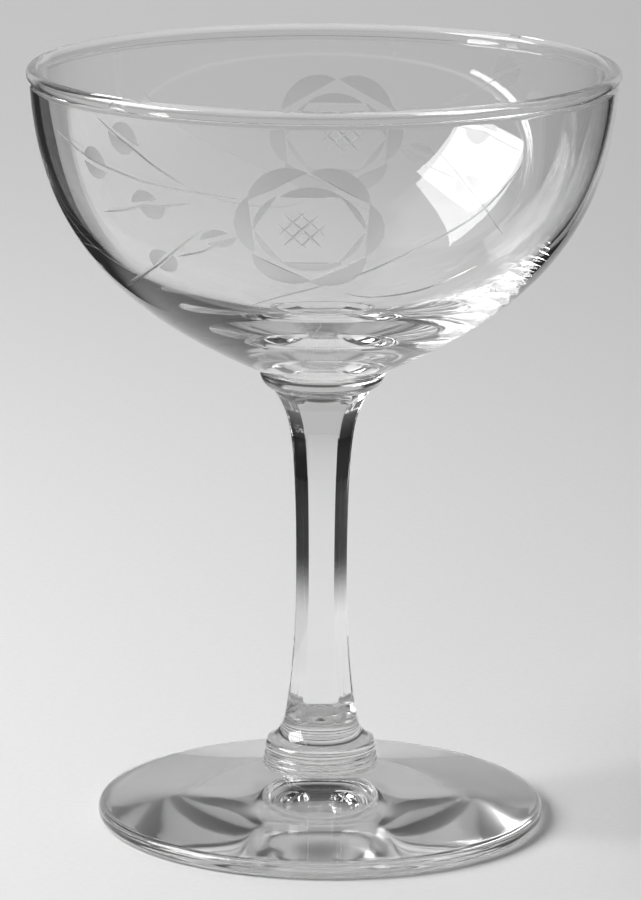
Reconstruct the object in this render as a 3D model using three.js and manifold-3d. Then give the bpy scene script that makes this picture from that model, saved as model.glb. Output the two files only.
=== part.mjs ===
// Stemmed sherbet glass: blown bowl, merese, six-panelled stem, ringed collar and disc foot, all of clear glass.
// Millimetres, +Z up. The origin is the centre of the ring on which the foot rests.

import * as THREE from "three";
import { mergeVertices } from "three/addons/utils/BufferGeometryUtils.js";
import Module from "manifold-3d";

// Heights of the pieces, from the table up
const footHeight = 9.4;
const stemLength = 60.2;
const mereseHeight = 3.05;
const bowlHeight = 50.65;

// Bowl: outline, wall thickness at three levels, and the fire-polished bead round its rim
const rimDiameter = 97.1;
const beadBulge = 0.38;
const wallAtRim = 1.4;
const wallAtBelly = 2.2;
const wallAtBase = 6.6;
const sideDrop = 26.0;
const sideLean = 1.5;
const bellyRadius = 33.5;
const bellyRise = 10.85;
const bowlSeatRadius = 9.0;

// Merese, the wafer between bowl and stem
const mereseRadius = 10.35;
const mereseEdgeRound = 0.3;
const mereseLedge = 0.1;
const mereseBulge = 0.5;

// Stem: a turned form with flats pressed into it
const stemHeadRadius = 8.1;
const stemHeadFlare = 2.25;
const stemHeadRise = 4.5;
const stemWaistRadius = 4.25;
const stemWaistHeight = 27.9;
const stemAnkleRadius = 5.75;
const stemAnkleHeight = 5.5;
const stemFlareRadius = 6.4;
const stemFlareHeight = 1.2;
const stemBaseRadius = 8.9;
const stemBaseLip = 0.25;
const panelCount = 6;
const panelDepth = 0.6;
const panelStart = 4.4;
const panelRunout = 0.35;

// How far each curve of the stem and the recess holds its direction, as a share of the stretch that it crosses
const ankleHold = 0.22;
const waistHold = 0.4;
const throatHold = 0.9;
const recessHold = 0.3;
const recessRunout = 0.5;

// Collar: rings listed from the foot up, each a step narrower than the ring below it
const collarRingHeights = [0.85, 0.95, 1.9];
const collarRingStep = 0.15;
const collarGroove = 0.25;

// Foot: a low cone on a flat resting ring round a shallow bell-shaped recess
const footDiameter = 74.5;
const footEdgeHeight = 2.9;
const footEdgeRound = 1.3;
const footShoulderWidth = 1.0;
const footShoulderDrop = 1.2;
const footConeWidth = 13.5;
const footConeRise = 2.6;
const restRingWidth = 3.0;
const footRecess = 2.5;

// Facets round the axis, along the long curves and round the small edges
const around = 48;
const longSteps = 13;
const shortSteps = 7;
const edgeSteps = 4;
const beadSteps = 10;

// Levels of the seats, where one piece stands on the next
const collarHeight = collarRingHeights.reduce((sum, height) => sum + height, 0);
const collarSeat = footHeight;
const stemSeat = collarSeat + collarHeight;
const mereseSeat = stemSeat + stemLength;
const bowlSeat = mereseSeat + mereseHeight;
const rimTop = bowlSeat + bowlHeight;

const wasm = await Module();
wasm.setup();

// A point of an outline: its distance from the axis and its height
function at(radius, height) {
  return new THREE.Vector2(radius, height);
}

function bezier(steps, from, hold, aim, to) {
  return new THREE.CubicBezierCurve(from, hold, aim, to).getPoints(steps);
}

function bend(steps, from, corner, to) {
  return new THREE.QuadraticBezierCurve(from, corner, to).getPoints(steps);
}

function arc(steps, centre, radius, startAngle, endAngle) {
  return new THREE.EllipseCurve(centre.x, centre.y, radius, radius, startAngle, endAngle).getPoints(steps);
}

// Turns a closed outline about the Z axis, without the empty triangles that a lathe leaves on its axis
function turned(outline, sides = around, firstAngle = 0) {
  const geometry = new THREE.LatheGeometry(outline, sides, firstAngle);
  geometry.deleteAttribute("normal");
  geometry.deleteAttribute("uv");
  geometry.rotateX(Math.PI / 2);
  const merged = mergeVertices(geometry, 1e-4);
  const kept = [];
  for (let i = 0; i < merged.index.count; i += 3) {
    const [a, b, c] = [0, 1, 2].map((k) => merged.index.getX(i + k));
    if (a !== b && b !== c && c !== a) {
      kept.push(a, b, c);
    }
  }
  merged.setIndex(kept);
  return merged;
}

function solidOf(geometry) {
  const vertProperties = new Float32Array(geometry.getAttribute("position").array);
  const triVerts = new Uint32Array(geometry.index.array);
  return new wasm.Manifold(new wasm.Mesh({ numProp: 3, vertProperties, triVerts }));
}

function geometryOf(solid) {
  const mesh = solid.getMesh();
  const geometry = new THREE.BufferGeometry();
  geometry.setAttribute("position", new THREE.BufferAttribute(mesh.vertProperties, 3));
  geometry.setIndex(new THREE.BufferAttribute(mesh.triVerts, 1));
  return geometry;
}

// The outer wall runs from the seat up to the bead's neck, and the inner wall follows it at three thicknesses
function bowlGeometry() {
  const beadRadius = wallAtRim / 2 + beadBulge;
  const beadCentre = at(rimDiameter / 2 - beadRadius, rimTop - beadRadius);
  const neckAngle = Math.acos(wallAtRim / 2 / beadRadius);
  const neckHeight = beadCentre.y - beadRadius * Math.sin(neckAngle);
  const outerNeck = beadCentre.x + wallAtRim / 2;
  const innerNeck = beadCentre.x - wallAtRim / 2;
  const bellySlant = Math.SQRT1_2 * wallAtBelly;
  const belly = at(bellyRadius, bowlSeat + bellyRise);
  const innerBelly = at(belly.x - bellySlant, belly.y + bellySlant);
  const innerBase = at(bowlSeatRadius, bowlSeat + wallAtBase);
  const floorSlope = (innerBelly.y - innerBase.y) / (innerBelly.x - innerBase.x);
  const floorReach = bowlSeatRadius / 2;
  const floorHeight = innerBase.y - floorSlope * floorReach;
  return turned([
    at(0, bowlSeat),
    ...bezier(
      longSteps,
      at(bowlSeatRadius, bowlSeat),
      belly,
      at(outerNeck - sideLean, neckHeight - sideDrop),
      at(outerNeck, neckHeight),
    ),
    ...arc(beadSteps, beadCentre, beadRadius, -neckAngle, Math.PI + neckAngle),
    ...bezier(
      longSteps,
      at(innerNeck, neckHeight),
      at(innerNeck - sideLean, neckHeight - sideDrop),
      innerBelly,
      innerBase,
    ),
    ...bend(edgeSteps, innerBase, at(floorReach, floorHeight), at(0, floorHeight)),
  ]);
}

// A round-edged wafer that stands on the stem's head with a narrow ledge all round
function mereseGeometry() {
  const edgeRound = Math.min(mereseEdgeRound, mereseHeight / 2);
  const edgeCentre = at(mereseRadius - edgeRound, bowlSeat - edgeRound);
  const underEdge = at(stemHeadRadius + mereseLedge, mereseSeat);
  const bulgeHeight = mereseSeat + mereseHeight * mereseBulge;
  return turned([
    at(0, mereseSeat),
    ...bend(edgeSteps, underEdge, at(mereseRadius, bulgeHeight), at(mereseRadius, edgeCentre.y)),
    ...arc(edgeSteps, edgeCentre, edgeRound, 0, Math.PI / 2),
    at(0, bowlSeat),
  ]);
}

// The stem's side from the lip of its base up to its head; the flats follow the same curves
function stemSide() {
  const base = at(stemBaseRadius, stemSeat + stemBaseLip);
  const flare = at(stemFlareRadius, stemSeat + stemFlareHeight);
  const ankle = at(stemAnkleRadius, stemSeat + stemAnkleHeight);
  const waist = at(stemWaistRadius, stemSeat + stemWaistHeight);
  const head = at(stemHeadRadius, mereseSeat);
  const shin = (waist.y - ankle.y) * ankleHold;
  const shinLean = (shin * (flare.x - ankle.x)) / (ankle.y - flare.y);
  return [
    ...bend(shortSteps, base, flare, ankle),
    ...bezier(
      shortSteps,
      ankle,
      at(ankle.x - shinLean, ankle.y + shin),
      at(waist.x, waist.y - (waist.y - ankle.y) * waistHold),
      waist,
    ),
    ...bezier(
      longSteps,
      waist,
      at(waist.x, waist.y + (head.y - waist.y) * throatHold),
      at(head.x - stemHeadFlare, head.y - stemHeadRise),
      head,
    ),
  ];
}

// Flats of one depth meet the turned form, and stop at a short ledge above the flared base
function stemGeometry() {
  const side = stemSide();
  const round = [
    at(0, stemSeat),
    at(stemBaseRadius, stemSeat),
    ...side,
    at(0, mereseSeat),
  ];
  const cornerFactor = 1 / Math.cos(Math.PI / panelCount);
  const clearRadius = (stemBaseRadius + panelDepth) * cornerFactor;
  const ledge = stemSeat + panelStart;
  const panelFoot = ledge + panelRunout;
  const flats = side
    .filter((point) => point.y > panelFoot)
    .map((point) => at((point.x - panelDepth) * cornerFactor, point.y));
  const overrun = panelDepth;
  const panelled = [
    at(0, stemSeat - overrun),
    at(clearRadius, stemSeat - overrun),
    at(clearRadius, ledge),
    at(flats[0].x, panelFoot),
    ...flats,
    at(flats[flats.length - 1].x, mereseSeat + overrun),
    at(0, mereseSeat + overrun),
  ];
  const firstCorner = Math.PI / panelCount;
  return geometryOf(solidOf(turned(round)).intersect(solidOf(turned(panelled, panelCount, firstCorner))));
}

// Radius in the groove under a collar ring; past the last ring it is the stem's base
function grooveRadius(ring) {
  return stemBaseRadius + collarRingStep * (collarRingHeights.length - ring);
}

// A stack of half-round rings with a groove between each pair
function collarGeometry() {
  const outline = [at(0, collarSeat)];
  let height = collarSeat;
  collarRingHeights.forEach((ringHeight, ring) => {
    const from = at(grooveRadius(ring), height);
    const crest = at(from.x + 2 * collarGroove, height + ringHeight / 2);
    height += ringHeight;
    outline.push(...bend(edgeSteps, from, crest, at(grooveRadius(ring + 1), height)));
  });
  outline.push(at(0, stemSeat));
  return turned(outline);
}

// The foot's cone rises from a rounded edge to the collar
function footGeometry() {
  const edgeRound = Math.min(footEdgeRound, footEdgeHeight / 2);
  const edgeCentre = footDiameter / 2 - edgeRound;
  const shoulder = at(grooveRadius(0), footHeight);
  const recessRadius = edgeCentre - restRingWidth;
  return turned([
    ...bezier(
      shortSteps,
      at(0, footRecess),
      at(recessRadius * recessHold, footRecess),
      at(recessRadius * (1 - recessRunout), 0),
      at(recessRadius, 0),
    ),
    ...arc(edgeSteps, at(edgeCentre, edgeRound), edgeRound, -Math.PI / 2, 0),
    ...arc(edgeSteps, at(edgeCentre, footEdgeHeight - edgeRound), edgeRound, 0, Math.PI / 2),
    ...bezier(
      shortSteps,
      at(edgeCentre, footEdgeHeight),
      at(edgeCentre - footConeWidth, footEdgeHeight + footConeRise),
      at(shoulder.x + footShoulderWidth, shoulder.y - footShoulderDrop),
      shoulder,
    ),
    at(0, footHeight),
  ]);
}

function piece(name, geometry) {
  const glass = new THREE.MeshStandardMaterial({
    color: 0xe9eeee,
    roughness: 0.04,
    metalness: 0,
    transparent: true,
    opacity: 0.35,
  });
  const mesh = new THREE.Mesh(geometry, glass);
  mesh.name = name;
  return mesh;
}

const sherbetGlass = new THREE.Group();
sherbetGlass.add(
  piece("bowl", bowlGeometry()),
  piece("upper_merese", mereseGeometry()),
  piece("stem", stemGeometry()),
  piece("lower_collar", collarGeometry()),
  piece("foot", footGeometry()),
);

export default sherbetGlass;
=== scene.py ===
# Clear stemmed sherbet glass on a pale floor: a blown bowl with a wheel-cut spray, a pressed stem and a foot
import math

import bmesh
import bpy
from mathutils import Matrix, Vector


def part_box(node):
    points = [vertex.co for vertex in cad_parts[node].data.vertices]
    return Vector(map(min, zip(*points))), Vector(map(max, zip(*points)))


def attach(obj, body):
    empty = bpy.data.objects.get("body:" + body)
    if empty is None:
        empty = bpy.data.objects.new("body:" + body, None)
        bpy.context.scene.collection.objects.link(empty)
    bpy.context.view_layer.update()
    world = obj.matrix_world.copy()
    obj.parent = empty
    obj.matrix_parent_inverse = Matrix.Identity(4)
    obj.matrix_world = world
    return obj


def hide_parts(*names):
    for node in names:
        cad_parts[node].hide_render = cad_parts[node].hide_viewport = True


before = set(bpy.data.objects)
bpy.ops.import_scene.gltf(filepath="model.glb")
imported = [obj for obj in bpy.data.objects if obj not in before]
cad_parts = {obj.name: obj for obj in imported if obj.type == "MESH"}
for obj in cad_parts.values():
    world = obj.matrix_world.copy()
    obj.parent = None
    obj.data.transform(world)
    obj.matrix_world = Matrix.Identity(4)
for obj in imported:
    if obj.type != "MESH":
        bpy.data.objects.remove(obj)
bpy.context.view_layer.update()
scene = bpy.context.scene
mm = 0.001


class Wire:
    # a socket that can stand in a sum: each operator adds a Math node to the board it is on
    def __init__(self, board, socket):
        self.board = board
        self.socket = socket

    def math(self, operation, *values):
        return self.board.add("ShaderNodeMath", {"operation": operation}, dict(enumerate(values)))

    def out(self, name):
        return Wire(self.board, self.socket.node.outputs[name])

    def __add__(self, other):
        return self.math("ADD", self, other)

    def __radd__(self, other):
        return self.math("ADD", other, self)

    def __sub__(self, other):
        return self.math("SUBTRACT", self, other)

    def __rsub__(self, other):
        return self.math("SUBTRACT", other, self)

    def __mul__(self, other):
        return self.math("MULTIPLY", self, other)

    def __rmul__(self, other):
        return self.math("MULTIPLY", other, self)

    def __truediv__(self, other):
        return self.math("DIVIDE", self, other)

    def __rtruediv__(self, other):
        return self.math("DIVIDE", other, self)


class Board:
    # a node tree with one way to add a node: its type, its settings, then the values or links of its sockets
    def __init__(self, tree):
        self.tree = tree

    def add(self, kind, settings=None, sockets=None):
        node = self.tree.nodes.new(kind)
        for name, value in (settings or {}).items():
            if name == "stops":
                self.setStops(node.color_ramp, value)
            else:
                setattr(node, name, value)
        for key, value in (sockets or {}).items():
            for one in value if isinstance(value, list) else [value]:  # a list fills a socket of many links
                self.put(self.socketOf(node, key), one)
        return Wire(self, node.outputs[0]) if node.outputs else None

    def socketOf(self, node, key):
        if isinstance(key, int):
            return node.inputs[key]
        return next(s for s in node.inputs if s.enabled and key in (s.identifier, s.name))

    def put(self, socket, value):
        if isinstance(value, Wire):
            self.tree.links.new(value.socket, socket)
        else:
            socket.default_value = value

    def setStops(self, ramp, stops):
        while len(ramp.elements) < len(stops):
            ramp.elements.new(1.0)
        for element, (place, shade) in zip(ramp.elements, stops):
            element.position = place
            element.color = (shade, shade, shade, 1.0)


def materialBoard(name):
    material = bpy.data.materials.new(name)
    material.use_nodes = True
    material.node_tree.nodes.clear()
    return material, Board(material.node_tree)


# Geometry trees: the named inputs become the modifier's own sizes
socketKinds = {
    int: "NodeSocketInt",
    float: "NodeSocketFloat",
    bpy.types.Material: "NodeSocketMaterial",
    bpy.types.Object: "NodeSocketObject",
}


def geometryBoard(name, inputs):
    tree = bpy.data.node_groups.new(name, "GeometryNodeTree")
    tree.interface.new_socket("Geometry", in_out="INPUT", socket_type="NodeSocketGeometry")
    for label, kind in inputs.items():
        tree.interface.new_socket(label, in_out="INPUT", socket_type=socketKinds[kind])
    tree.interface.new_socket("Geometry", in_out="OUTPUT", socket_type="NodeSocketGeometry")
    board = Board(tree)
    return board, board.add("NodeGroupInput")


def finishTree(board, geometry, material, selection=True):
    real = board.add("GeometryNodeRealizeInstances", None, {"Geometry": geometry})
    dressed = board.add("GeometryNodeSetMaterial", None, {
        "Geometry": real, "Selection": selection, "Material": material})
    board.add("NodeGroupOutput", None, {"Geometry": dressed})


def runTree(name, mesh, board, values):
    piece = bpy.data.objects.new(name, mesh)
    scene.collection.objects.link(piece)
    modifier = piece.modifiers.new(board.tree.name, "NODES")
    modifier.node_group = board.tree
    for item in board.tree.interface.items_tree:
        if item.in_out == "INPUT" and item.name in values:
            modifier[item.identifier] = values[item.name]
    seen = piece.evaluated_get(bpy.context.evaluated_depsgraph_get())
    made = bpy.data.meshes.new_from_object(seen)
    piece.modifiers.remove(modifier)
    piece.data = made
    made.name = name
    return piece


# Outlines are lists of (radius, height) from the axis round to the axis
def bezier(steps, start, hold, aim, end):
    points = []
    for i in range(steps + 1):
        t = i / steps
        s = 1 - t
        weights = (s * s * s, 3 * s * s * t, 3 * s * t * t, t * t * t)
        points.append(tuple(sum(w * p[k] for w, p in zip(weights, (start, hold, aim, end))) for k in (0, 1)))
    return points


def bend(steps, start, corner, end):
    hold = [start[k] + (corner[k] - start[k]) * 2 / 3 for k in (0, 1)]
    aim = [end[k] + (corner[k] - end[k]) * 2 / 3 for k in (0, 1)]
    return bezier(steps, start, hold, aim, end)


def arc(steps, centre, radius, fromAngle, toAngle):
    angles = [fromAngle + (toAngle - fromAngle) * i / steps for i in range(steps + 1)]
    return [(centre[0] + radius * math.cos(a), centre[1] + radius * math.sin(a)) for a in angles]


def outlineMesh(name, outline):
    points = [outline[0]]
    for point in outline[1:]:
        if math.dist(point, points[-1]) > 1e-7:
            points.append(point)
    mesh = bpy.data.meshes.new(name)
    edges = [(i, i + 1) for i in range(len(points) - 1)]
    mesh.from_pydata([(r, -h, 0) for r, h in points], edges, [])  # the sweep below turns Y over
    return mesh


# Turns an outline about the Z axis, then presses flats and a mould seam into it where they are asked for
def makeTurningTree():
    board, given = geometryBoard("turning", {
        "Facets": int,
        "Panels": int,
        "Panel Depth": float,
        "Panel Softness": float,
        "Panel Foot": float,
        "Panel Runout": float,
        "Seam Height": float,
        "Seam Width": float,
        "Glass": bpy.types.Material,
    })
    outline = board.add("GeometryNodeMeshToCurve", None, {"Mesh": given.out("Geometry")})
    spindle = 10 * mm  # the ring that carries the outline round
    ring = board.add("GeometryNodeCurvePrimitiveCircle", {"mode": "RADIUS"},
                     {"Resolution": given.out("Facets"), "Radius": spindle})
    ring = board.add("GeometryNodeSetCurveNormal", {"mode": "Z_UP"}, {"Curve": ring})
    outline = board.add("GeometryNodeSetPosition", None, {"Geometry": outline, "Offset": (-spindle, 0, 0)})
    turned = board.add("GeometryNodeCurveToMesh", None, {"Curve": ring, "Profile Curve": outline})
    closed = board.add("GeometryNodeMergeByDistance", None, {"Geometry": turned, "Distance": 1e-7})

    place = board.add("ShaderNodeSeparateXYZ", None, {0: board.add("GeometryNodeInputPosition")})
    x, y, height = place.out("X"), place.out("Y"), place.out("Z")
    radius = (x * x + y * y).math("SQRT", x * x + y * y)
    sector = 2 * math.pi / given.out("Panels")
    turn = y.math("ARCTAN2", y, x) + math.pi / 2
    inPanel = turn.math("WRAP", turn, sector / 2, sector / -2)
    flat = (radius - given.out("Panel Depth")) / inPanel.math("COSINE", inPanel)
    pressed = radius.math("SMOOTH_MIN", radius, flat, given.out("Panel Softness"))
    start = given.out("Panel Foot")
    share = board.add("ShaderNodeMapRange", {"interpolation_type": "SMOOTHSTEP"},
                      {"Value": height, "From Min": start, "From Max": start + given.out("Panel Runout")})
    shaped = radius + (pressed - radius) * share
    across = x / given.out("Seam Width")
    ridge = given.out("Seam Height") / (1 + across * across * across * across)
    ridge = ridge * radius.math("GREATER_THAN", radius, 2 * mm)  # none near the axis
    grown = (shaped + ridge) / radius.math("MAXIMUM", radius, 1e-6)
    moved = board.add("ShaderNodeCombineXYZ", None, {"X": x * grown, "Y": y * grown, "Z": height})
    shapedMesh = board.add("GeometryNodeSetPosition", None, {"Geometry": closed, "Position": moved})
    smooth = board.add("GeometryNodeSetShadeSmooth", None, {"Geometry": shapedMesh})
    finishTree(board, smooth, given.out("Glass"))
    return board


# Finishes. Each tint is the share of light that one surface lets through; the cut glass's low tint is painted
# shade
glassIor = 1.5
clearSizes = {
    "blown": {"tint": 0.945, "waveScale": 45.0, "waveHeight": 0.006 * mm},
    "pressed": {"tint": 0.985, "waveScale": 70.0, "waveHeight": 0.03 * mm},
    "smearScale": 60.0,
    "smearStart": 0.55,
    "smearRoughness": 0.08,
}
cutGlassSizes = {
    # painted shade: this tint darkens the ground facets well below the clear glass
    "tint": 0.72,
    "grainScale": 4000.0,
    "grainHeight": 0.02 * mm,
    "grainStrength": 0.3,
    "roughness": 0.24,
    "grainRoughness": 0.12,
}
wornGlassSizes = {
    "tint": 0.985,
    "scuffScale": 300.0,
    "clearReach": 8.0 * mm,
    "wornReach": 22.0 * mm,
    "clearRoughness": 0.01,
    "wornRoughness": 0.03,
    "scuffRoughness": 0.03,
}


def finishGlass(board, tint, roughness, **more):
    glass = board.add("ShaderNodeBsdfPrincipled", None, {
        "Base Color": (tint, tint, tint, 1.0),
        "Roughness": roughness,
        "IOR": glassIor,
        "Transmission Weight": 1.0,
        **more,
    })
    board.add("ShaderNodeOutputMaterial", None, {"Surface": glass})


def grainNoise(board, scale, detail, roughness):
    place = board.add("ShaderNodeTexCoord").out("Object")
    return board.add("ShaderNodeTexNoise", {"noise_dimensions": "3D"}, {
        "Vector": place, "Scale": scale, "Detail": detail, "Roughness": roughness})


def makeClearGlass(name, tint, waveScale, waveHeight):
    # hot glass sets with gentle waves, and hands leave faint smears on it
    size = clearSizes
    material, board = materialBoard(name)
    waves = grainNoise(board, waveScale, 2.0, 0.45)
    smears = grainNoise(board, size["smearScale"], 3.0, 0.6)
    handled = smears.math("MAXIMUM", smears - size["smearStart"], 0.0) * size["smearRoughness"]
    surface = board.add("ShaderNodeBump", None, {"Strength": 1.0, "Distance": waveHeight, "Height": waves})
    finishGlass(board, tint, handled, Normal=surface)
    return material


def makeCutGlass():
    # the cuts were left as the wheel made them, so they are dull with fine scratches, and their tint is
    # painted shade that makes them darker than the clear glass
    size = cutGlassSizes
    material, board = materialBoard("cutGlass")
    grain = grainNoise(board, size["grainScale"], 3.0, 0.6)
    surface = board.add("ShaderNodeBump", None, {
        "Strength": size["grainStrength"], "Distance": size["grainHeight"], "Height": grain})
    finishGlass(board, size["tint"], size["roughness"] + grain * size["grainRoughness"], Normal=surface)
    return material


def makeWornGlass():
    # the underside is scuffed by years of standing on tables, most of all near the rest ring
    size = wornGlassSizes
    material, board = materialBoard("wornGlass")
    scuffs = grainNoise(board, size["scuffScale"], 3.0, 0.6)
    place = board.add("ShaderNodeTexCoord").out("Object")
    away = board.add("ShaderNodeVectorMath", {"operation": "LENGTH"}, {0: place}).out("Value")
    worn = board.add("ShaderNodeMapRange", {"interpolation_type": "SMOOTHSTEP"}, {
        "Value": away, "From Min": size["clearReach"], "From Max": size["wornReach"]})
    scuffed = size["wornRoughness"] + scuffs * size["scuffRoughness"]
    finishGlass(board, size["tint"], worn * scuffed + size["clearRoughness"])
    return material


def makeFusedSeat():
    # the glass was joined hot here, so light meets no surface between the two pieces
    material, board = materialBoard("fusedSeat")
    through = board.add("ShaderNodeBsdfTransparent")
    board.add("ShaderNodeOutputMaterial", None, {"Surface": through})
    return material


blownGlass = makeClearGlass("blownGlass", **clearSizes["blown"])
pressedGlass = makeClearGlass("pressedGlass", **clearSizes["pressed"])
cutGlass = makeCutGlass()
wornGlass = makeWornGlass()
fusedSeat = makeFusedSeat()
turning = makeTurningTree()
print("mixed the finishes")


def turnPiece(name, outline, glass, sharpAngle, **sizes):
    # a plain round piece, unless more is asked for
    values = {"Facets": 192, "Panels": 6, "Panel Depth": 0.0, "Panel Softness": 0.0, "Panel Foot": 1.0,
              "Panel Runout": 1.0, "Seam Height": 0.0, "Seam Width": 1.0, "Glass": glass}
    values.update(sizes)
    piece = runTree(name, outlineMesh(name + "Outline", outline), turning, values)
    shell = bmesh.new()
    shell.from_mesh(piece.data)
    bmesh.ops.recalc_face_normals(shell, faces=shell.faces)
    shell.to_mesh(piece.data)
    shell.free()
    piece.data.set_sharp_from_angle(angle=math.radians(sharpAngle))
    return piece


def paintFaces(piece, material, chosen):
    if material.name not in piece.data.materials:
        piece.data.materials.append(material)
    index = piece.data.materials.find(material.name)
    for face in piece.data.polygons:
        if chosen(face.center, math.hypot(*face.center.xy)):
            face.material_index = index


def fuseSeat(piece, height, radius=math.inf):
    paintFaces(piece, fusedSeat, lambda centre, away: abs(centre.z - height) < 1e-6 and away < radius)


def seatPiece(piece, node):
    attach(piece, "root")
    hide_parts(node)
    print("made", piece.name, "with", len(piece.data.polygons), "faces")


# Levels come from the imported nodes
levels = {node: (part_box(node)[0].z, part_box(node)[1].z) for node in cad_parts}
radii = {node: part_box(node)[1].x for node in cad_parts}

# Foot
footSizes = {
    "edgeHeight": 2.9 * mm,
    "edgeRound": 1.3 * mm,
    "topRadius": 9.35 * mm,
    "shoulderWidth": 1.0 * mm,
    "shoulderDrop": 1.2 * mm,
    "coneWidth": 13.5 * mm,
    "coneRise": 2.6 * mm,
    "restRing": 3.0 * mm,
    "recess": 2.5 * mm,
    "recessHold": 0.3,
    "recessRunout": 0.5,
}


def makeFoot():
    size = footSizes
    top = levels["foot"][1]
    edge = radii["foot"] - size["edgeRound"]
    reach = edge - size["restRing"]
    outline = bezier(48, (0, size["recess"]), (reach * size["recessHold"], size["recess"]),
                     (reach * (1 - size["recessRunout"]), 0), (reach, 0))
    outline += arc(10, (edge, size["edgeRound"]), size["edgeRound"], -math.pi / 2, 0)
    outline += arc(10, (edge, size["edgeHeight"] - size["edgeRound"]), size["edgeRound"], 0, math.pi / 2)
    outline += bezier(64, (edge, size["edgeHeight"]),
                      (edge - size["coneWidth"], size["edgeHeight"] + size["coneRise"]),
                      (size["topRadius"] + size["shoulderWidth"], top - size["shoulderDrop"]),
                      (size["topRadius"], top))
    outline.append((0, top))
    piece = turnPiece("foot_disc", outline, pressedGlass, sharpAngle=40)
    fuseSeat(piece, top, size["topRadius"])
    paintFaces(piece, wornGlass, lambda centre, away: centre.z < size["recess"] and away < reach)
    seatPiece(piece, "foot")


# Collar
collarSizes = {
    "ringHeights": [0.85 * mm, 0.95 * mm, 1.9 * mm],
    "topRadius": 8.9 * mm,
    "ringStep": 0.15 * mm,
    "groove": 0.25 * mm,
    "seamHeight": 0.05 * mm,
    "seamWidth": 0.35 * mm,
}


def makeCollar():
    size = collarSizes
    low, high = levels["lower_collar"]
    count = len(size["ringHeights"])
    outline = [(0, low)]
    height = low
    for ring, ringHeight in enumerate(size["ringHeights"]):
        start = size["topRadius"] + size["ringStep"] * (count - ring)
        end = start - size["ringStep"]
        outline += bend(12, (start, height), (start + 2 * size["groove"], height + ringHeight / 2),
                        (end, height + ringHeight))
        height += ringHeight
    outline.append((0, high))
    piece = turnPiece("ringed_collar", outline, pressedGlass, sharpAngle=35, **{
        "Seam Height": size["seamHeight"], "Seam Width": size["seamWidth"]})
    fuseSeat(piece, low)
    fuseSeat(piece, high)
    seatPiece(piece, "lower_collar")


# Stem
stemSizes = {
    "headRadius": 8.1 * mm,
    "headFlare": 2.25 * mm,
    "headRise": 4.5 * mm,
    "waistRadius": 4.25 * mm,
    "waistHeight": 27.9 * mm,
    "ankleRadius": 5.75 * mm,
    "ankleHeight": 5.5 * mm,
    "flareRadius": 6.4 * mm,
    "flareHeight": 1.2 * mm,
    "baseRadius": 8.9 * mm,
    "baseLip": 0.25 * mm,
    "ankleHold": 0.22,
    "waistHold": 0.4,
    "throatHold": 0.9,
    "facets": 240,
    "panels": 6,
    "panelDepth": 0.6 * mm,
    "panelSoftness": 0.05 * mm,
    "panelStart": 4.4 * mm,
    "panelRunout": 0.5 * mm,
    "seamHeight": 0.04 * mm,
    "seamWidth": 0.2 * mm,
}


def makeStem():
    size = stemSizes
    low, high = levels["stem"]
    base = (size["baseRadius"], low + size["baseLip"])
    flare = (size["flareRadius"], low + size["flareHeight"])
    ankle = (size["ankleRadius"], low + size["ankleHeight"])
    waist = (size["waistRadius"], low + size["waistHeight"])
    head = (size["headRadius"], high)
    shin = (waist[1] - ankle[1]) * size["ankleHold"]
    shinLean = shin * (flare[0] - ankle[0]) / (ankle[1] - flare[1])
    outline = [(0, low), (size["baseRadius"], low)]
    outline += bend(40, base, flare, ankle)
    outline += bezier(40, ankle, (ankle[0] - shinLean, ankle[1] + shin),
                      (waist[0], waist[1] - (waist[1] - ankle[1]) * size["waistHold"]), waist)
    outline += bezier(72, waist, (waist[0], waist[1] + (head[1] - waist[1]) * size["throatHold"]),
                      (head[0] - size["headFlare"], head[1] - size["headRise"]), head)
    outline.append((0, high))
    piece = turnPiece("panelled_stem", outline, pressedGlass, sharpAngle=40, **{
        "Facets": size["facets"],
        "Panels": size["panels"],
        "Panel Depth": size["panelDepth"],
        "Panel Softness": size["panelSoftness"],
        "Panel Foot": low + size["panelStart"],
        "Panel Runout": size["panelRunout"],
        "Seam Height": size["seamHeight"],
        "Seam Width": size["seamWidth"],
    })
    fuseSeat(piece, low)
    fuseSeat(piece, high)
    seatPiece(piece, "stem")


# Merese
mereseSizes = {
    "edgeRound": 0.2 * mm,
    "ledge": 0.1 * mm,
    "bulge": 0.3,
}


def makeMerese():
    size = mereseSizes
    low, high = levels["upper_merese"]
    radius = radii["upper_merese"]
    edge = (radius - size["edgeRound"], high - size["edgeRound"])
    head = stemSizes["headRadius"]
    outline = [(0, low), (head, low)]
    belly = (radius, low + (high - low) * size["bulge"])
    outline += bend(20, (head + size["ledge"], low), belly, (radius, edge[1]))
    outline += arc(10, edge, size["edgeRound"], 0, math.pi / 2)
    outline += [(bowlSizes["seatRadius"], high), (0, high)]
    piece = turnPiece("merese_wafer", outline, pressedGlass, sharpAngle=40)
    fuseSeat(piece, low, head)
    fuseSeat(piece, high, bowlSizes["seatRadius"])
    seatPiece(piece, "upper_merese")


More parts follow.
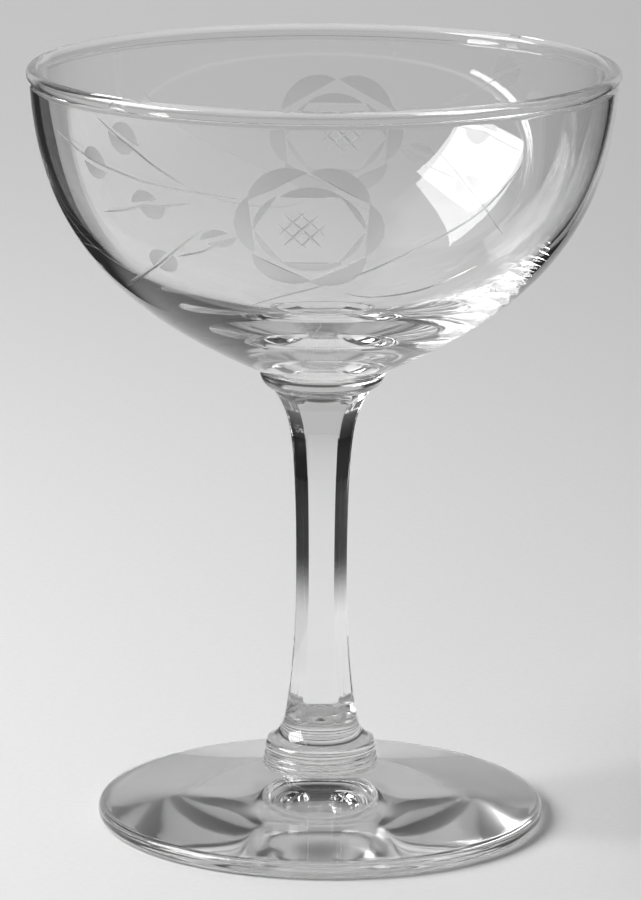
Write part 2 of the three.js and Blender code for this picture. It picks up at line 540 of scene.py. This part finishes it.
# Wheel-cut spray: a six-petalled rose with leaves on thin stems, cut twice round the outside of the bowl.
# Corners, rises, leaves and stem heights are in millimetres, and turns and leans in degrees
cutSizes = {
    "copies": 2,
    "wallRadius": 46.0 * mm,
    "planRadius": 45.0 * mm,
    "wallSlope": 1.07,
    "roseTurn": -2.8,
    "roseHeight": 107.8 * mm,
    "outerCorners": [(0, 10.0), (9.3, 4.8), (9.0, -4.8), (0, -9.8), (-9.1, -4.7), (-9.4, 5.2)],
    "outerRises": [2.9, 2.6, 3.0, 3.0, 2.7, 2.8],
    "innerCorners": [(-4.8, 5.9), (4.8, 5.9), (8.9, 0), (4.8, -6.0), (-4.8, -6.0), (-8.9, 0)],
    "innerRises": [1.8, 0.9, 0.9, 1.6, 0.9, 1.0],
    "hatchShift": -1.2 * mm,
    "hatchLength": 8.2 * mm,
    "hatchGap": 1.9 * mm,
    "hatchLines": 3,
    "leafGap": 0.95 * mm,
    # each leaf: turn, height, lean, length, width of a half, slide between the halves
    "leaves": [
        (-50.2, 115.7, -15, 5.3, 2.0, 0.1),
        (-41.1, 120.6, -24, 5.6, 2.1, -0.1),
        (-37.4, 110.4, 11, 5.3, 2.0, 0.6),
        (-37.7, 100.7, 38, 5.3, 2.2, 0.3),
        (-22.1, 105.7, 18, 5.4, 1.2, 0.8),
    ],
    # turn and height along each stem
    "stems": [
        [(-62.8, 119.6), (-57.8, 118.1), (-50.5, 116.2), (-42.9, 115.0),
         (-35.5, 113.9), (-26.9, 113.3), (-15.5, 112.6)],
        [(-47.9, 123.5), (-42.3, 120.8), (-38.0, 118.9), (-34.0, 116.9), (-27.0, 114.0)],
        [(-51.0, 107.7), (-45.3, 108.5), (-41.2, 109.3), (-37.7, 110.1), (-33.5, 110.3), (-26.6, 111.4)],
        [(-60.0, 93.8), (-55.5, 94.7), (-49.0, 96.5), (-39.6, 99.8), (-33.0, 102.9), (-25.1, 107.0)],
        [(-32.8, 101.9), (-26.2, 103.3), (-22.9, 104.5), (-19.2, 105.8)],
        [(-18.5, 93.9), (-9, 96.2), (0, 98.2), (9, 100.5),
         (18, 103.7), (26, 106.7), (34, 110.6), (41, 116.6)],
        [(5, 96.7), (12, 95.9), (24, 96.9), (36, 100.2)],
    ],
    "stemSteps": 40,
    "stemDepth": 0.08 * mm,
    "stemHalf": 0.19 * mm,
    "stemTaper": 7.0,
    "stemTip": 0.15,
    "wheelReach": 1.5,
    "faceLift": 3.0 * mm,
    "mitreLift": 2.0 * mm,
    "mitreHalfAngle": 62.0,
    "sightStart": 80.0 * mm,
    "sightLength": 100.0 * mm,
}


def makeCutTree():
    size = cutSizes
    board, given = geometryBoard("wheelCuts", {
        "Plan": bpy.types.Object,
        "Stem Depth": float,
        "Stem Half Width": float,
        "Glass": bpy.types.Material,
        "Cut Glass": bpy.types.Material,
    })

    def named(name, kind):
        return board.add("GeometryNodeInputNamedAttribute", {"data_type": kind}, {"Name": name})

    def store(geometry, name, kind, domain, value):
        return board.add("GeometryNodeStoreNamedAttribute", {"data_type": kind, "domain": domain}, {
            "Geometry": geometry, "Name": name, "Value": value})

    def scaled(vector, amount):
        return board.add("ShaderNodeVectorMath", {"operation": "SCALE"}, {"Vector": vector, "Scale": amount})

    def joined(operation, first, second):
        return board.add("ShaderNodeVectorMath", {"operation": operation}, {0: first, 1: second})

    def shapedWheel(geometry, scale, turn, lift):
        made = board.add("GeometryNodeTransform", None, {"Geometry": geometry, "Rotation": turn})
        return board.add("GeometryNodeTransform", None, {
            "Geometry": made, "Scale": scale, "Translation": lift})

    wallNormal = board.add("GeometryNodeInputNormal")
    shell = store(given.out("Geometry"), "wallNormal", "FLOAT_VECTOR", "CORNER", wallNormal)
    shell = board.add("GeometryNodeSetMaterial", None, {"Geometry": shell, "Material": given.out("Glass")})
    plan = board.add("GeometryNodeObjectInfo", None, {"Object": given.out("Plan")}).out("Geometry")

    # the plan holds turn and height; a ray from outside finds the wall there
    spot = board.add("ShaderNodeSeparateXYZ", None, {0: board.add("GeometryNodeInputPosition")})
    turn, height = spot.out("X"), spot.out("Z")
    outX, outY = turn.math("SINE", turn), turn.math("COSINE", turn) * -1
    outside = board.add("ShaderNodeCombineXYZ", None, {
        "X": outX * size["sightStart"], "Y": outY * size["sightStart"], "Z": height})
    inward = board.add("ShaderNodeCombineXYZ", None, {"X": outX * -1, "Y": outY * -1})
    along = board.add("ShaderNodeCombineXYZ", None, {"X": outY * -1, "Y": outX})
    ray = board.add("GeometryNodeRaycast", None, {
        "Target Geometry": shell, "Source Position": outside, "Ray Direction": inward,
        "Ray Length": size["sightLength"]})
    wall, normal = ray.out("Hit Position"), ray.out("Hit Normal")
    lean = named("lean", "FLOAT")
    axis = joined("ADD", scaled(along, lean.math("COSINE", lean)),
                  scaled(joined("CROSS_PRODUCT", normal, along), lean.math("SINE", lean)))
    upright = board.add("FunctionNodeAxesToRotation", {"primary_axis": "Z", "secondary_axis": "X"}, {
        "Primary Axis": normal, "Secondary Axis": axis})
    tipped = board.add("FunctionNodeEulerToRotation", None, {
        "Euler": board.add("ShaderNodeCombineXYZ", None, {"X": named("tilt", "FLOAT")})})
    stance = board.add("FunctionNodeRotateRotation", {"rotation_space": "LOCAL"}, {
        "Rotation": upright, "Rotate By": tipped})

    # a flat wheel face leaves a half-moon, a mitred wheel a pointed groove
    marks = store(plan, "stance", "QUATERNION", "POINT", stance)
    marks = board.add("GeometryNodeSetPosition", None, {
        "Geometry": marks, "Position": joined("SUBTRACT", wall, scaled(normal, named("depth", "FLOAT")))})
    cube = board.add("GeometryNodeMeshCube", None, {"Size": (1, 1, 1)})
    face = shapedWheel(cube, (1, 1, 1), (0, 0, 0), (0, 0.5, 0.5))
    mitre = shapedWheel(cube, (1, math.sqrt(0.5), math.sqrt(0.5)), (math.pi / 4, 0, 0), (0, 0, 0.5))
    kind = named("kind", "INT")
    cutters = []
    for number, wheel in enumerate((face, mitre)):
        chosen = kind.math("COMPARE", kind, number, 0.1)
        cutters.append(board.add("GeometryNodeInstanceOnPoints", None, {
            "Points": marks, "Selection": chosen, "Instance": wheel,
            "Rotation": named("stance", "QUATERNION"), "Scale": named("size", "FLOAT_VECTOR")}))

    # stems follow the wall as one long shallow groove
    paths = board.add("GeometryNodeMeshToCurve", None, {"Mesh": plan})
    paths = board.add("GeometryNodeCurveSplineType", {"spline_type": "CATMULL_ROM"}, {"Curve": paths})
    paths = board.add("GeometryNodeResampleCurve", None, {"Curve": paths, "Count": size["stemSteps"]})
    paths = board.add("GeometryNodeSetCurveNormal", {"mode": "FREE"}, {"Curve": paths, "Normal": normal})
    paths = board.add("GeometryNodeSetPosition", None, {"Geometry": paths, "Position": wall})
    share = board.add("GeometryNodeSplineParameter")
    taper = share.math("MINIMUM", share, 1 - share) * size["stemTaper"] + size["stemTip"]
    taper = taper.math("MINIMUM", taper, 1.0)
    deep, half = given.out("Stem Depth"), given.out("Stem Half Width")

    def corner(x, y):
        return board.add("ShaderNodeCombineXYZ", None, {"X": x, "Y": y})

    groove = board.add("GeometryNodeCurvePrimitiveQuadrilateral", {"mode": "POINTS"}, {
        "Point 1": corner(deep * -1, 0.0), "Point 2": corner(deep, half * -2),
        "Point 3": corner(deep * 3, 0.0), "Point 4": corner(deep, half * 2)})
    stems = board.add("GeometryNodeCurveToMesh", None, {
        "Curve": paths, "Profile Curve": groove, "Scale": taper, "Fill Caps": True})
    cutters.append(board.add("GeometryNodeSplitToInstances", {"domain": "FACE"}, {
        "Geometry": stems, "Group ID": board.add("GeometryNodeInputMeshIsland")}))
    tools = [board.add("GeometryNodeSetMaterial", None, {
        "Geometry": one, "Material": given.out("Cut Glass")}) for one in cutters]
    cut = board.add("GeometryNodeMeshBoolean", {"operation": "DIFFERENCE", "solver": "MANIFOLD"}, {
        "Mesh 1": shell, "Mesh 2": tools})
    ground = board.add("GeometryNodeMaterialSelection", None, {"Material": given.out("Cut Glass")})
    smooth = board.add("GeometryNodeSwitch", {"input_type": "VECTOR"}, {
        "Switch": ground, "False": named("wallNormal", "FLOAT_VECTOR"),
        "True": board.add("GeometryNodeInputNormal").out("True Normal")})
    shaped = board.add("GeometryNodeSetMeshNormal", {"mode": "FREE", "domain": "CORNER"}, {
        "Mesh": cut, "Custom Normal": smooth})
    part = board.add("GeometryNodeFieldOnDomain", {"data_type": "FLOAT", "domain": "FACE"}, {"Value": ground})
    shaped = board.add("GeometryNodeSetShadeSmooth", {"domain": "EDGE"}, {
        "Geometry": shaped, "Selection": part.math("COMPARE", part, 0.5, 0.4), "Shade Smooth": False})
    finishTree(board, shaped, given.out("Cut Glass"), ground)
    return board


# what the plan's points carry
planFields = {"kind": "INT", "lean": "FLOAT", "tilt": "FLOAT", "depth": "FLOAT", "size": "FLOAT_VECTOR"}


def planMesh():
    size = cutSizes
    places, edges = [], []
    values = {name: [] for name in planFields}
    radius = size["wallRadius"]

    def mark(turn, height, **given):
        places.append((turn, 0, height))
        for name in planFields:
            values[name].append(given[name])

    def halfMoon(turn, height, lean, chord, rise):
        wide = (chord * chord / 4 + rise * rise) / (2 * rise)
        mark(turn, height, kind=0, lean=lean, tilt=(wide - rise) / radius, depth=chord * chord / (8 * radius),
             size=(chord * size["wheelReach"], rise * 2, size["faceLift"]))

    def groove(turn, height, lean, chord):
        wide = size["mitreLift"] * math.tan(math.radians(size["mitreHalfAngle"]))
        mark(turn, height, kind=1, lean=lean, tilt=0.0, depth=chord * chord / (8 * radius),
             size=(chord * size["wheelReach"], wide, size["mitreLift"]))

    def offset(turn, height, across, up):
        return turn + across / size["planRadius"], height + up / size["wallSlope"]

    for copy in range(size["copies"]):
        start = 2 * math.pi * copy / size["copies"]
        rose = (start + math.radians(size["roseTurn"]), size["roseHeight"])
        for ring in ("outer", "inner"):
            corners = [Vector(corner) * mm for corner in size[ring + "Corners"]]
            for petal, rise in enumerate(size[ring + "Rises"]):
                one, two = corners[petal], corners[(petal + 1) % len(corners)]
                edge = two - one
                spot = offset(*rose, *((one + two) / 2))
                halfMoon(*spot, math.atan2(edge.y, edge.x), edge.length, rise * mm)
        for lean in (math.pi / 4, -math.pi / 4):
            for line in range(size["hatchLines"]):
                shift = (line - (size["hatchLines"] - 1) / 2) * size["hatchGap"]
                spot = offset(*rose, size["hatchShift"] - shift * math.sin(lean), shift * math.cos(lean))
                groove(*spot, lean, size["hatchLength"] - abs(shift))
        for turn, height, lean, length, width, slide in size["leaves"]:
            centre = (start + math.radians(turn), height * mm)
            for side in (0, math.pi):
                way = math.radians(lean) + side
                apart = Matrix.Rotation(way, 2) @ Vector((-slide * mm, size["leafGap"] / 2))
                halfMoon(*offset(*centre, *apart), way, length * mm, width * mm)
        for stem in size["stems"]:
            first = len(places)
            for turn, height in stem:
                mark(start + math.radians(turn), height * mm,
                     kind=-1, lean=0.0, tilt=0.0, depth=0.0, size=(0, 0, 0))
            edges += [(i, i + 1) for i in range(first, len(places) - 1)]
    mesh = bpy.data.meshes.new("cut_plan")
    mesh.from_pydata(places, edges, [])
    for name, kind in planFields.items():
        field = "vector" if kind == "FLOAT_VECTOR" else "value"
        flat = [part for one in values[name] for part in (one if kind == "FLOAT_VECTOR" else (one,))]
        mesh.attributes.new(name, kind, "POINT").data.foreach_set(field, flat)
    return mesh


def cutBowl(piece):
    size = cutSizes
    plan = bpy.data.objects.new("cut_plan", planMesh())
    board = makeCutTree()
    whole = piece.data
    bpy.data.objects.remove(piece)
    made = runTree("cut_bowl", whole, board, {
        "Plan": plan, "Stem Depth": size["stemDepth"], "Stem Half Width": size["stemHalf"],
        "Glass": blownGlass, "Cut Glass": cutGlass})
    bpy.data.objects.remove(plan)
    fields = made.data.attributes
    for name in [field.name for field in fields if field.name in (*planFields, "wallNormal")]:
        fields.remove(fields[name])
    print("cut", size["copies"], "sprays into the bowl")
    return made


# Bowl
bowlSizes = {
    "seatRadius": 10.1 * mm,
    "beadBulge": 0.45 * mm,
    "wallAtRim": 1.4 * mm,
    "wallAtBelly": 2.2 * mm,
    "wallAtBase": 6.6 * mm,
    "sideDrop": 26.0 * mm,
    "sideLean": 1.5 * mm,
    "bellyRadius": 33.5 * mm,
    "bellyRise": 10.85 * mm,
    "facets": 384,
}


def makeBowl():
    size = bowlSizes
    seat, rim = levels["bowl"]
    halfWall = size["wallAtRim"] / 2
    bead = halfWall + size["beadBulge"]
    centre = (radii["bowl"] - bead, rim - bead)
    neckAngle = math.acos(halfWall / bead)
    neck = centre[1] - bead * math.sin(neckAngle)
    outerNeck, innerNeck = centre[0] + halfWall, centre[0] - halfWall
    slant = size["wallAtBelly"] * math.sqrt(0.5)
    belly = (size["bellyRadius"], seat + size["bellyRise"])
    innerBelly = (belly[0] - slant, belly[1] + slant)
    base = (size["seatRadius"], seat)
    innerBase = (size["seatRadius"], seat + size["wallAtBase"])
    slope = (innerBelly[1] - innerBase[1]) / (innerBelly[0] - innerBase[0])
    reach = size["seatRadius"] / 2
    floor = innerBase[1] - slope * reach
    outline = [(0, seat)]
    side = neck - size["sideDrop"]
    outline += bezier(80, base, belly, (outerNeck - size["sideLean"], side), (outerNeck, neck))
    outline += arc(24, centre, bead, -neckAngle, math.pi + neckAngle)
    outline += bezier(80, (innerNeck, neck), (innerNeck - size["sideLean"], side), innerBelly, innerBase)
    outline += bend(20, innerBase, (reach, floor), (0, floor))
    plain = turnPiece("plain_bowl", outline, blownGlass, sharpAngle=50, Facets=size["facets"])
    piece = cutBowl(plain)
    fuseSeat(piece, seat, size["seatRadius"])
    seatPiece(piece, "bowl")


makeFoot()
makeCollar()
makeStem()
makeMerese()
makeBowl()

# Pale floor, with black cards laid on it behind the glass at both sides, outside the camera's view: painted
# shade that stands for the dark room seen at the glass's edges, casting no shadow and sending no light
stageSizes = {
    "floorRadius": 1.25,
    "floorCorners": 96,
    "floorShade": 0.8,
    "drop": 0.05 * mm,
    "paintedShadeTone": 0.01,
    "leftCard": [(-1.6, 0.0), (-0.62, 0.03), (-0.5, 0.24), (-0.07, 0.04), (-0.07, 0.10),
                 (-0.105, 0.30), (-0.15, 0.57), (-0.26, 1.0), (-1.6, 1.6)],
    "rightCard": [(1.6, 0.0), (0.07, 0.03), (0.07, 0.10), (0.2, 0.33),
                  (0.265, 0.52), (0.40, 1.0), (1.6, 1.6)],
    "fadeStart": 0.10,
    "fadeEnd": 0.19,
    "toothScale": 900.0,
    "toothContrast": 0.015,
}


def stageSheet(name, corners, shade, fade=None):
    size = stageSizes
    mesh = bpy.data.meshes.new(name)
    mesh.from_pydata(corners, [], [tuple(range(len(corners)))])
    sheet = bpy.data.objects.new(name, mesh)
    scene.collection.objects.link(sheet)
    material, board = materialBoard(name + "Paper")
    place = board.add("ShaderNodeTexCoord").out("Object")
    tooth = board.add("ShaderNodeTexNoise", None, {
        "Vector": place, "Scale": size["toothScale"], "Detail": 2.0})
    stops = [(0.3, shade * (1 - size["toothContrast"])), (0.7, shade * (1 + size["toothContrast"]))]
    tone = board.add("ShaderNodeValToRGB", {"stops": stops}, {"Fac": tooth})
    paper = board.add("ShaderNodeBsdfPrincipled", None, {
        "Base Color": tone, "Roughness": 0.9, "Specular IOR Level": 0.2})
    if fade:
        away = board.add("ShaderNodeVectorMath", {"operation": "LENGTH"}, {0: place}).out("Value")
        share = board.add("ShaderNodeMapRange", {"interpolation_type": "SMOOTHSTEP"}, {
            "Value": away, "From Min": fade[0], "From Max": fade[1]})
        through = board.add("ShaderNodeBsdfTransparent")
        paper = board.add("ShaderNodeMixShader", None, {0: share, 1: through, 2: paper})
    board.add("ShaderNodeOutputMaterial", None, {"Surface": paper})
    mesh.materials.append(material)
    return sheet


def makeStage():
    size = stageSizes
    low = -size["drop"]
    corners = size["floorCorners"]
    rim = arc(corners - 1, (0, 0), size["floorRadius"], 0, 2 * math.pi * (corners - 1) / corners)
    stageSheet("paper_floor", [(x, y, low) for x, y in rim], size["floorShade"])
    for name, edge in (("left_card", size["leftCard"]), ("right_card", size["rightCard"])):
        fade = (size["fadeStart"], size["fadeEnd"])
        card = stageSheet(name, [(x, y, low / 2) for x, y in edge], size["paintedShadeTone"], fade)
        # painted shade only: the cards show in and past the glass, but neither shade the floor nor light it
        card.visible_diffuse = False
        card.visible_shadow = False
    print("laid the floor and its cards")


makeStage()

# A broad lamp at the left, and one overhead that keeps the far floor pale
lampSizes = {
    "side_window": {
        "place": (-0.66, -0.07, 0.54), "aim": (0, 0, 0.09), "width": 0.57, "height": 0.47, "power": 9.0},
    "floor_glow": {
        "place": (-0.15, 1.15, 0.8), "aim": (-0.15, 1.15, 0), "width": 0.6, "height": 0.6, "power": 2.9},
}


def makeLamp(name, place, aim, width, height, power):
    away = Vector(place) - Vector(aim)
    lamp = bpy.data.lights.new(name, "AREA")
    lamp.shape = "RECTANGLE"
    lamp.size = width
    lamp.size_y = height
    lamp.energy = power
    holder = bpy.data.objects.new(name, lamp)
    holder.location = place
    holder.rotation_euler = away.to_track_quat("Z", "Y").to_euler()
    scene.collection.objects.link(holder)
    return holder


lamps = {name: makeLamp(name, **size) for name, size in lampSizes.items()}
lamps["floor_glow"].visible_glossy = False
lamps["floor_glow"].visible_transmission = False
print("hung", len(lamps), "lamps")

# Dark room for the glass to show at its edges, with a pale screen behind, a bright hood high at the left
# and a grey ceiling. Angles are in degrees, and soft heights and the ceiling's span are shares of the dome
roomSizes = {
    "walls": 0.025,
    "screen": 0.46,
    "screenHalf": 30.0,
    "screenSoft": 3.0,
    "screenTop": 40.0,
    "screenTopSoft": 0.15,
    "ceilingLeft": 0.05,
    "ceilingRight": 0.02,
    "ceilingStart": 0.55,
    "ceilingFull": 0.9,
    "ceilingSpread": 0.7,
    "hood": 0.9,
    "hoodTurn": 80.0,
    "hoodHalf": 40.0,
    "hoodLow": 32.0,
    "hoodHigh": 67.0,
    "hoodSideSoft": 2.865,
    "hoodLowSoft": 0.03,
    "hoodHighSoft": 0.02,
}


def makeRoom():
    size = roomSizes
    world = bpy.data.worlds.new("greyRoom")
    world.use_nodes = True
    world.node_tree.nodes.clear()
    room = Board(world.node_tree)
    way = room.add("ShaderNodeSeparateXYZ", None, {0: room.add("ShaderNodeTexCoord").out("Generated")})
    x, y, z = way.out("X"), way.out("Y"), way.out("Z")

    def step(value, start, end, low=0.0, high=1.0):
        return room.add("ShaderNodeMapRange", {"interpolation_type": "SMOOTHSTEP"}, {
            "Value": value, "From Min": start, "From Max": end, "To Min": low, "To Max": high})

    def edge(value, middle, soft, low=0.0, high=1.0):
        return step(value, middle - soft, middle + soft, low, high)

    turn = x.math("ARCTAN2", x, y)
    fromHood = turn + math.radians(size["hoodTurn"])
    turn = turn.math("ABSOLUTE", turn)
    fromHood = fromHood.math("ABSOLUTE", fromHood)
    half, soft = math.radians(size["screenHalf"]), math.radians(size["screenSoft"])
    wide, blur = math.radians(size["hoodHalf"]), math.radians(size["hoodSideSoft"])
    top, low, high = (math.sin(math.radians(size[key])) for key in ("screenTop", "hoodLow", "hoodHigh"))
    screen = edge(turn, half, soft, 1.0, 0.0) * edge(z, top, size["screenTopSoft"], size["screen"], 0.0)
    spread = size["ceilingSpread"]
    ceiling = step(z, size["ceilingStart"], size["ceilingFull"])
    ceiling = ceiling * step(x, -spread, spread, size["ceilingLeft"], size["ceilingRight"])
    hood = edge(z, low, size["hoodLowSoft"]) * edge(z, high, size["hoodHighSoft"], size["hood"], 0.0)
    hood = hood * edge(fromHood, wide, blur, 1.0, 0.0)
    strength = screen + ceiling + hood + size["walls"]
    glow = room.add("ShaderNodeBackground", None, {"Color": (1, 1, 1, 1), "Strength": strength})
    room.add("ShaderNodeOutputWorld", None, {"Surface": glow})
    scene.world = world


makeRoom()
print("lit the room")

# Camera at the photograph's angle
cameraSizes = {
    "place": (-0.267 * mm, -835.4 * mm, 253.9 * mm),
    "pitch": 0.2250,
    "roll": 0.0053,
    "lens": 207.06,
    "nearest": 0.01,
    "farthest": 20.0,
}
lens = bpy.data.cameras.new("front_camera")
lens.lens = cameraSizes["lens"]
lens.clip_start = cameraSizes["nearest"]
lens.clip_end = cameraSizes["farthest"]
viewer = bpy.data.objects.new("front_camera", lens)
viewer.matrix_world = (Matrix.Translation(cameraSizes["place"])
                       @ Matrix.Rotation(math.pi / 2 - cameraSizes["pitch"], 4, "X")
                       @ Matrix.Rotation(cameraSizes["roll"], 4, "Z"))
scene.collection.objects.link(viewer)
scene.camera = viewer

scene.view_settings.view_transform = "Standard"

# light turns many times inside thick glass before it leaves
glassBounces = 128
scene.cycles.max_bounces = glassBounces
scene.cycles.transmission_bounces = glassBounces
scene.cycles.glossy_bounces = glassBounces
scene.cycles.transparent_max_bounces = glassBounces // 2
